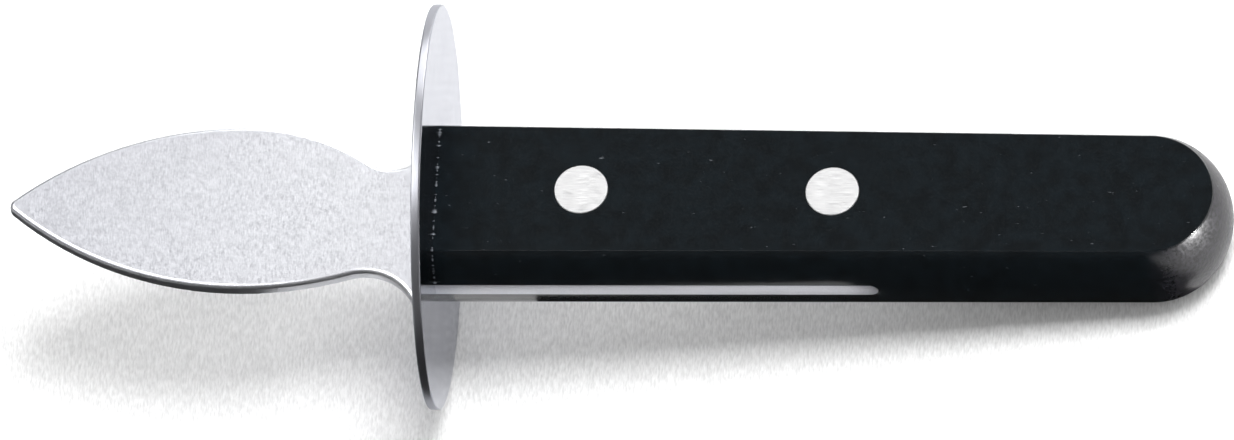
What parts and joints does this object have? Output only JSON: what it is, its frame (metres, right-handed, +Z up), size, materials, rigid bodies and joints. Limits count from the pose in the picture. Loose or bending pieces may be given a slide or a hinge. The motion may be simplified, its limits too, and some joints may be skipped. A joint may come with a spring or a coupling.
{
  "type": "oyster knife",
  "caption": "Oyster knife with a short blunt leaf-shaped blade, a round hand guard and a straight riveted handle, for prising oysters open.",
  "frame": {"origin": "centre of the bounding box, on the table that the knife lies on", "axes": "+X along the knife from its point to the butt of its handle, +Y across the blade towards its spine, +Z up. The knife lies on its guard's rim and on the end of the handle's back flat, so its own axis dips towards +X."},
  "size_m": [0.1552, 0.052, 0.0512],
  "materials": {
    "blade_steel": "fine satin ground stainless steel",
    "guard_steel": "mirror polished stainless steel",
    "handle_plastic": "black moulded acetal with a smooth satin face",
    "rivet_metal": "flush ground, fine satin"
  },
  "bodies": {
    "root": {"blade": "blade_steel", "guard": "guard_steel", "handle": "handle_plastic", "front_rivet_socket": "rivet_metal", "front_rivet_stud": "rivet_metal", "rear_rivet_socket": "rivet_metal", "rear_rivet_stud": "rivet_metal"}
  },
  "joints": []
}
